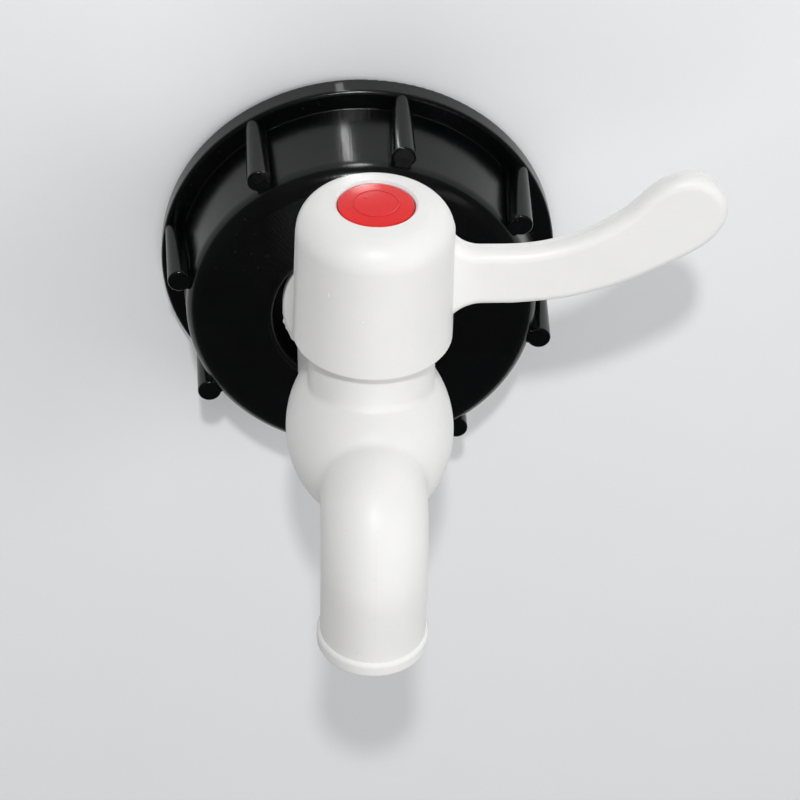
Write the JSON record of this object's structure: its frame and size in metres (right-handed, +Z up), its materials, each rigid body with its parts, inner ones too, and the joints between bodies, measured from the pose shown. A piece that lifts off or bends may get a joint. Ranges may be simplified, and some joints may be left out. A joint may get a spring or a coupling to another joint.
{
  "type": "ibc tank valve",
  "caption": "White plastic quarter-turn ball tap with a side lever and bent spout, clamped in a black ribbed screw cap for the outlet of a liquid tank.",
  "frame": {"origin": "centre of the cap's open rim, in the plane where the cap meets the tank", "axes": "+Y out of the cap's mouth into the tank, -Y toward the user, +X the side of the closed lever, +Z up, against the spout"},
  "size_m": [0.1017, 0.0957, 0.0957],
  "materials": {
    "cap_black": "black injection-moulded polypropylene, satin",
    "tap_white": "white injection-moulded polypropylene, satin gloss",
    "button_red": "red plastic, glossy",
    "seal_black": "black EPDM rubber, matte",
    "seat_white": "white PTFE, waxy",
    "stem_natural": "natural acetal, satin",
    "ball_white": "white plastic, polished",
    "nut_black": "black polypropylene, satin",
    "screw_steel": "stainless steel"
  },
  "bodies": {
    "tap_and_cap": {"cap_shell": "cap_black", "tank_gasket": "seal_black", "shoulder_washer": "seal_black", "lock_washer": "stem_natural", "lock_nut": "nut_black", "inlet_tail": "tap_white", "tail_o_ring": "seal_black", "valve_body": "tap_white", "inlet_seat": "seat_white", "outlet_seat": "seat_white", "inlet_seat_o_ring": "seal_black", "outlet_seat_o_ring": "seal_black", "gland_washer": "seat_white", "gland_nut": "stem_natural"},
    "handle_and_ball": {"handle": "tap_white", "button": "button_red", "handle_screw": "screw_steel", "screw_washer": "screw_steel", "stem": "stem_natural", "thrust_washer": "seat_white", "stem_o_ring_lower": "seal_black", "stem_o_ring_upper": "seal_black", "ball": "ball_white"}
  },
  "joints": [
    {"name": "handle_turn", "type": "hinge", "parent": "tap_and_cap", "child": "handle_and_ball", "pos_m": [0, -0.0584, 0], "axis": [0, 0, 1], "range_deg": [-90, 0]}
  ]
}
